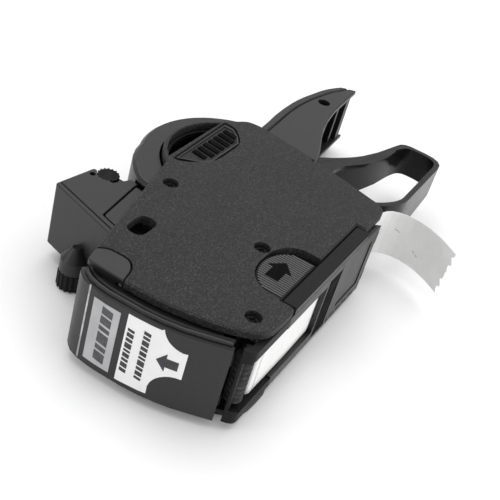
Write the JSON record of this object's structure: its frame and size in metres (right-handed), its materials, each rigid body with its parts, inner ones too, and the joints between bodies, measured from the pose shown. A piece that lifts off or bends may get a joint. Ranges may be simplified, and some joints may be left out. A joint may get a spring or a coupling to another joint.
{
  "type": "price labelling gun",
  "caption": "Hand-held price labelling gun lying on its side, with squeeze lever, swinging print head, label roll, base cover and torn backing strip.",
  "frame": {"origin": "middle of the gun's outline on the plane it lies on", "axes": "+X from the nose towards the handle, +Y from the base towards the label roll, +Z across the gun from the right side cover to the left"},
  "size_m": [0.222, 0.1342, 0.04],
  "materials": {
    "textured_plastic": "fine spark-eroded grain, dark grey",
    "smooth_plastic": "smooth satin black",
    "gloss_plastic": "polished black",
    "dark_plastic": "dull black",
    "screw_steel": "blackened steel",
    "pin_steel": "bright turned steel",
    "band_rubber": "toothed black rubber",
    "roller_rubber": "matt black rubber",
    "ink_felt": "ink-soaked felt",
    "label_paper": "white backing paper"
  },
  "bodies": {
    "chassis": {"left_side_cover": "textured_plastic", "right_side_cover": "textured_plastic", "handle_grip": "smooth_plastic", "handle_spine": "smooth_plastic", "platen": "smooth_plastic", "left_frame_plate": "dark_plastic", "right_frame_plate": "dark_plastic", "top_spacer_post": "dark_plastic", "middle_spacer_post": "dark_plastic", "front_spacer_post": "dark_plastic", "nose_frame": "dark_plastic", "roll_housing_hinge_pin": "screw_steel", "base_hinge_pin": "screw_steel", "front_cover_hinge_pin": "screw_steel", "left_top_screw": "screw_steel", "right_top_screw": "screw_steel", "left_middle_screw": "screw_steel", "right_middle_screw": "screw_steel", "left_front_screw": "screw_steel", "right_front_screw": "screw_steel", "handle_screw": "screw_steel", "lever_pivot_pin": "pin_steel", "ink_pivot_pin": "pin_steel", "feed_axle": "pin_steel", "label_web": "label_paper", "backing_strip": "label_paper", "liner_tail": "label_paper"},
    "roll_lid": {"roll_housing": "smooth_plastic"},
    "roll": {"roll_hub": "dark_plastic", "label_roll": "label_paper"},
    "trigger": {"squeeze_lever": "gloss_plastic", "lever_return_spring": "pin_steel", "left_head_arm": "smooth_plastic", "right_head_arm": "smooth_plastic", "print_head_housing": "smooth_plastic", "print_head_front": "smooth_plastic", "print_band_1": "band_rubber", "print_band_2": "band_rubber", "print_band_3": "band_rubber", "print_band_4": "band_rubber", "print_band_5": "band_rubber", "print_band_6": "band_rubber", "band_wheel_2": "dark_plastic", "band_wheel_3": "dark_plastic", "band_wheel_4": "dark_plastic", "band_wheel_5": "dark_plastic", "band_wheel_6": "dark_plastic", "band_wheel_shaft": "screw_steel", "band_idler_roller": "dark_plastic", "type_anvil": "dark_plastic"},
    "first_wheel": {"band_wheel_1": "dark_plastic"},
    "knob": {"selector_knob": "dark_plastic"},
    "ink_arm": {"ink_cage": "smooth_plastic"},
    "ink": {"ink_roller": "ink_felt"},
    "feed": {"feed_wheel": "dark_plastic"},
    "applicator": {"applicator_roller": "roller_rubber"},
    "base": {"bottom_cover": "smooth_plastic"},
    "latch": {"base_latch": "smooth_plastic", "latch_spring": "pin_steel"},
    "door": {"front_cover": "smooth_plastic"}
  },
  "joints": [
    {"name": "trigger_squeeze", "type": "hinge", "parent": "chassis", "child": "trigger", "pos_m": [0.00758, 0.00041, 0.02], "axis": [0, 0, 1], "range_deg": [0, 17], "stiffness_Nm_per_rad": 1.2, "springref_deg": -6.88},
    {"name": "ink_arm_swing", "type": "hinge", "parent": "chassis", "child": "ink_arm", "pos_m": [-0.09442, 0.01441, 0.02], "axis": [0, 0, 1], "range_deg": [-41, 0]},
    {"name": "ink_roller_spin", "type": "hinge", "parent": "ink_arm", "child": "ink", "pos_m": [-0.07842, -0.00809, 0.02], "axis": [0, 0, 1], "continuous": true},
    {"name": "knob_spin", "type": "hinge", "parent": "trigger", "child": "knob", "pos_m": [-0.07686, 0.04881, 0.003], "axis": [0, 0, 1], "continuous": true},
    {"name": "first_wheel_spin", "type": "hinge", "parent": "trigger", "child": "first_wheel", "pos_m": [-0.06873, 0.04633, 0.012], "axis": [0, 0, 1], "continuous": true},
    {"name": "roll_spin", "type": "hinge", "parent": "chassis", "child": "roll", "pos_m": [-0.00742, 0.02491, 0.02], "axis": [0, 0, 1], "continuous": true},
    {"name": "feed_spin", "type": "hinge", "parent": "chassis", "child": "feed", "pos_m": [-0.01942, -0.02599, 0.02], "axis": [0, 0, 1], "continuous": true},
    {"name": "applicator_spin", "type": "hinge", "parent": "chassis", "child": "applicator", "pos_m": [-0.09362, -0.03199, 0.02], "axis": [0, 0, 1], "continuous": true},
    {"name": "roll_lid_open", "type": "hinge", "parent": "chassis", "child": "roll_lid", "pos_m": [0.03418, 0.03881, 0.02], "axis": [0, 0, -1], "range_deg": [0, 95]},
    {"name": "base_open", "type": "hinge", "parent": "chassis", "child": "base", "pos_m": [0.00658, -0.03459, 0.02], "axis": [0, 0, 1], "range_deg": [0, 55]},
    {"name": "latch_slide", "type": "slide", "parent": "chassis", "child": "latch", "axis": [1, 0, 0], "range_m": [0, 0.004], "stiffness_N_per_m": 150, "springref_m": -0.002},
    {"name": "door_open", "type": "hinge", "parent": "chassis", "child": "door", "pos_m": [-0.09902, -0.02819, 0.02], "axis": [0, 0, 1], "range_deg": [0, 50]}
  ],
  "couplings": [
    {"joint": "ink_arm_swing", "follows": "trigger_squeeze", "ratio": -2.35},
    {"joint": "first_wheel_spin", "follows": "knob_spin", "ratio": -0.81818}
  ]
}
